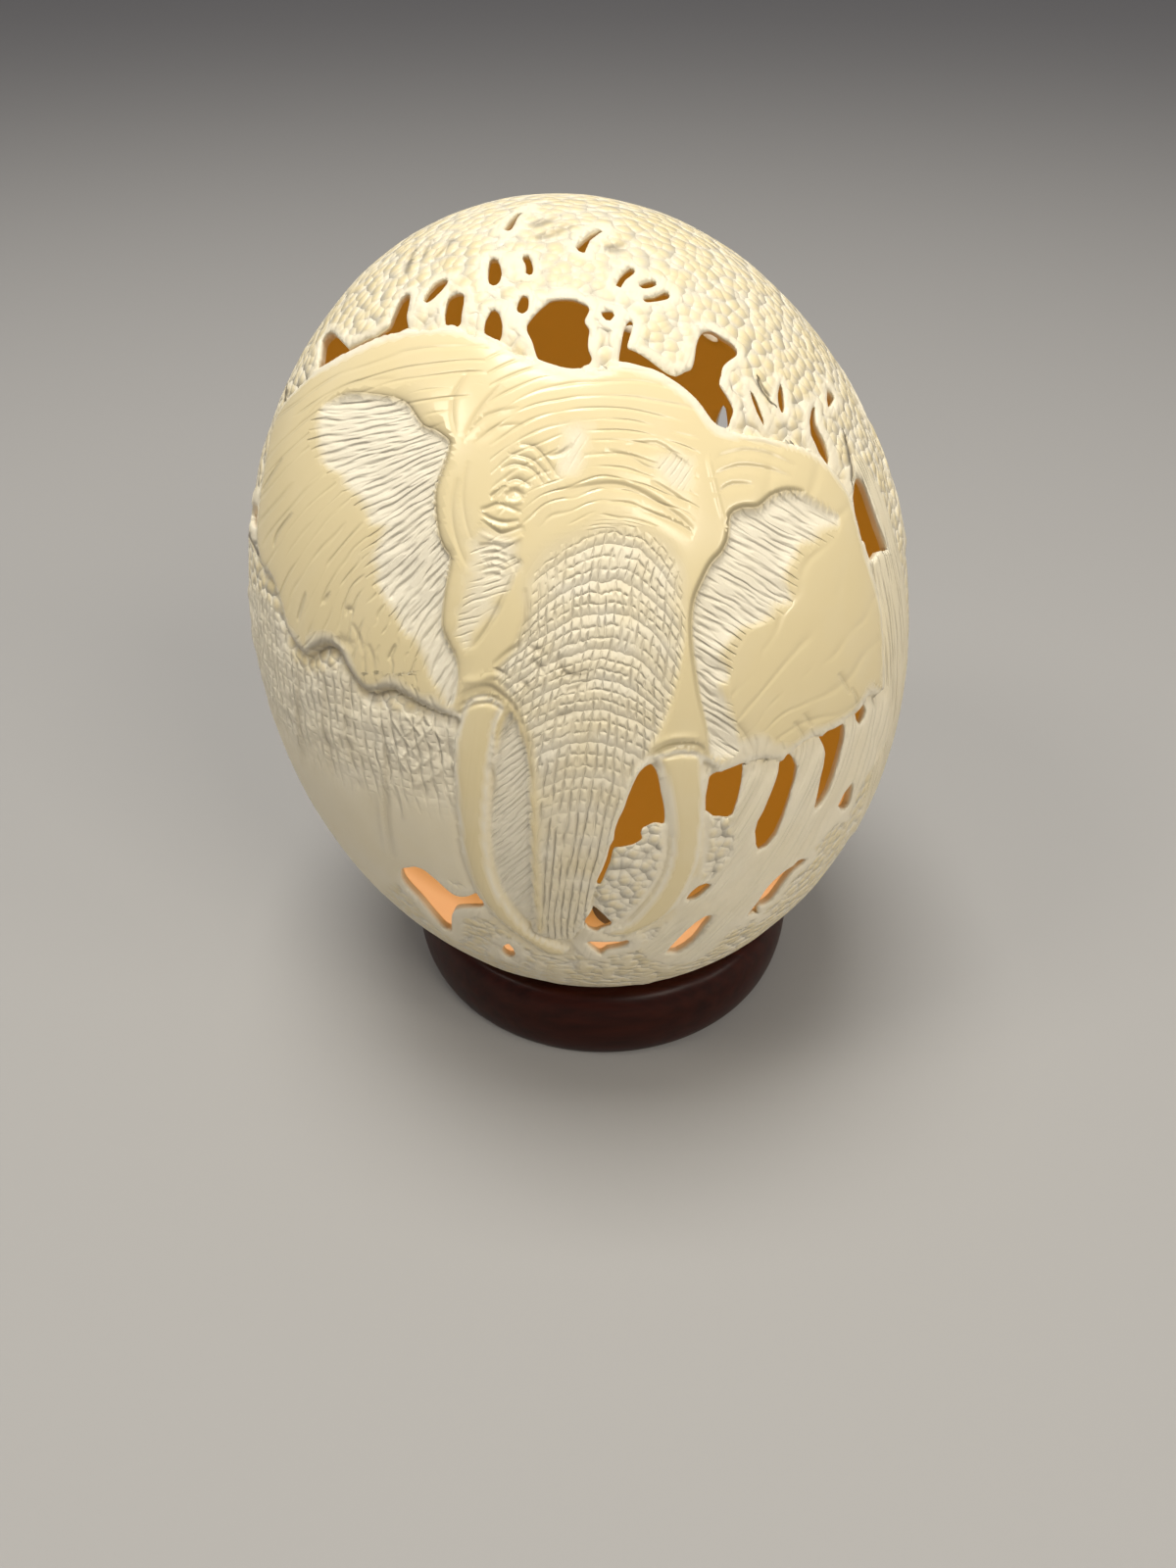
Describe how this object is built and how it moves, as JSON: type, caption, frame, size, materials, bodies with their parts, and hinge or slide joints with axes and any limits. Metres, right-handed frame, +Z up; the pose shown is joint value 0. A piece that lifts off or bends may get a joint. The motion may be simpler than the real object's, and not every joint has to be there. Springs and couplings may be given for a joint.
{
  "type": "carved ostrich egg on a ring stand",
  "caption": "Ostrich eggshell, carved in relief and pierced with an elephant head among trees, resting in a turned wooden ring.",
  "frame": {"origin": "on the surface that the ring stands on, under the middle of the egg", "axes": "+Z up, the carved elephant faces -Y, the egg's top leans towards -X"},
  "size_m": [0.1251, 0.1242, 0.1574],
  "materials": {
    "eggshell": "natural ostrich eggshell, polished cream skin with matt white carving",
    "dark_wood": "turned hardwood, dark stain, satin"
  },
  "bodies": {
    "root": {"carved_eggshell": "eggshell", "wooden_ring": "dark_wood"}
  },
  "joints": []
}
